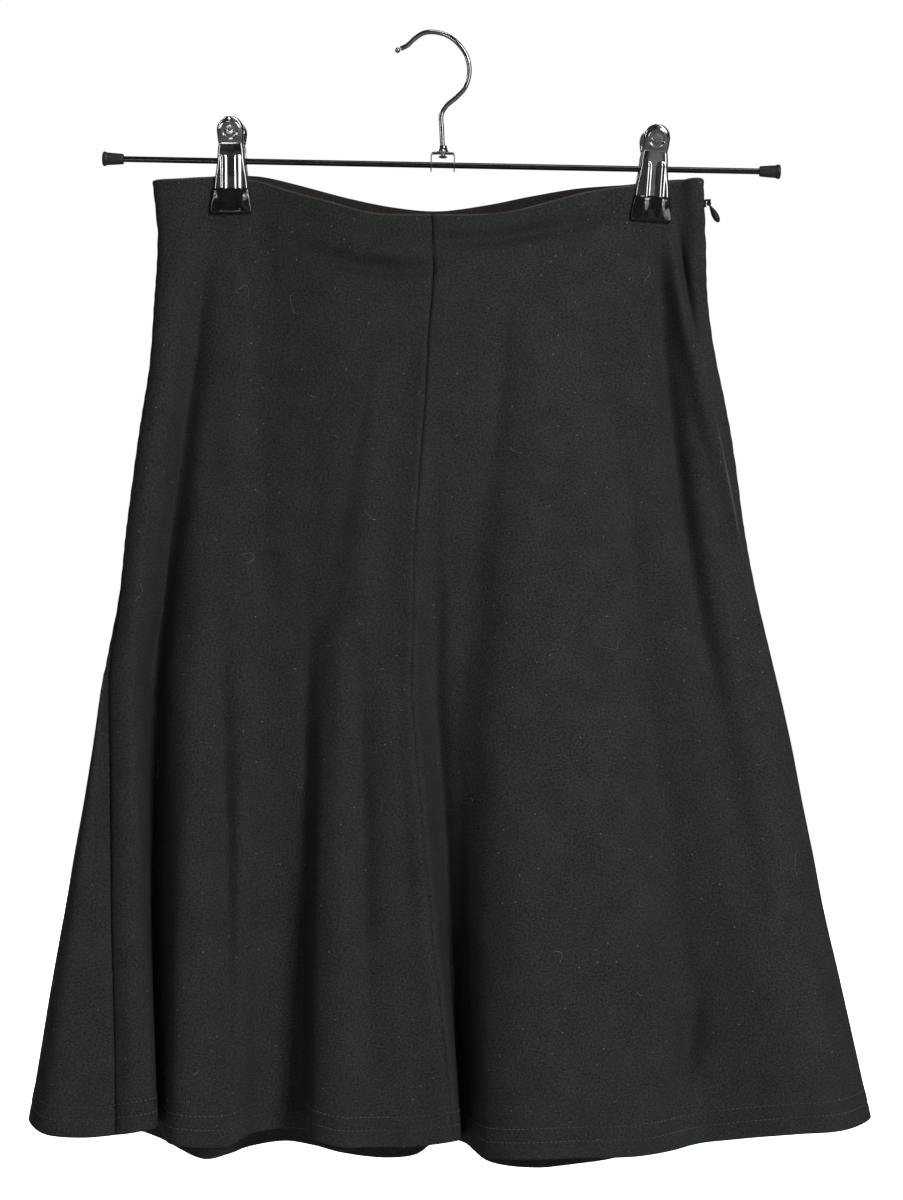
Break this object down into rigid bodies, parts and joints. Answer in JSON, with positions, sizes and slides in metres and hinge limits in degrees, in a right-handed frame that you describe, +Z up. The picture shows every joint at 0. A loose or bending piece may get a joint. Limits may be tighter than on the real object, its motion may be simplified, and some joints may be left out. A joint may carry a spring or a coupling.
{
  "type": "a-line skirt on a clip hanger",
  "caption": "Flared knee-length skirt with seams down front and back and a side zip, hung by its waist from a metal rod hanger with spring clips.",
  "frame": {"origin": "top of the inside of the hook's bow, where a rail carries the hanger", "axes": "+Z up, the skirt's front faces -Y, +X to the right as seen from the front"},
  "size_m": [0.5054, 0.1194, 0.6874],
  "materials": {
    "cloth": "matte black double knit",
    "chrome": "polished",
    "dark_chrome": "dark polished",
    "clip_dip": "glossy black dip",
    "rod_cap": "satin black",
    "zip_metal": "satin black paint"
  },
  "bodies": {
    "hung_skirt": {"front_left": "cloth", "front_right": "cloth", "back_right": "cloth", "back_left": "cloth", "waist_facing_front": "cloth", "waist_facing_back": "cloth", "hanger_rod": "dark_chrome", "rod_cap_left": "rod_cap", "rod_cap_right": "rod_cap", "hanger_hook": "chrome", "hook_ball": "chrome", "hanger_bracket": "chrome", "hook_collar": "chrome", "hook_rivet": "chrome", "clip_left_front": "chrome", "clip_left_back": "chrome", "clip_left_front_tip": "clip_dip", "clip_left_back_tip": "clip_dip", "clip_left_spring": "dark_chrome", "clip_right_front": "chrome", "clip_right_back": "chrome", "clip_right_front_tip": "clip_dip", "clip_right_back_tip": "clip_dip", "clip_right_spring": "dark_chrome", "zip_slider": "zip_metal"},
    "zip_tab": {"zip_pull_tab": "zip_metal"}
  },
  "joints": [
    {"name": "zip_tab_swing", "type": "hinge", "parent": "hung_skirt", "child": "zip_tab", "pos_m": [0.1655, 0, -0.1013], "axis": [0, -1, 0], "range_deg": [-16, 92]}
  ]
}
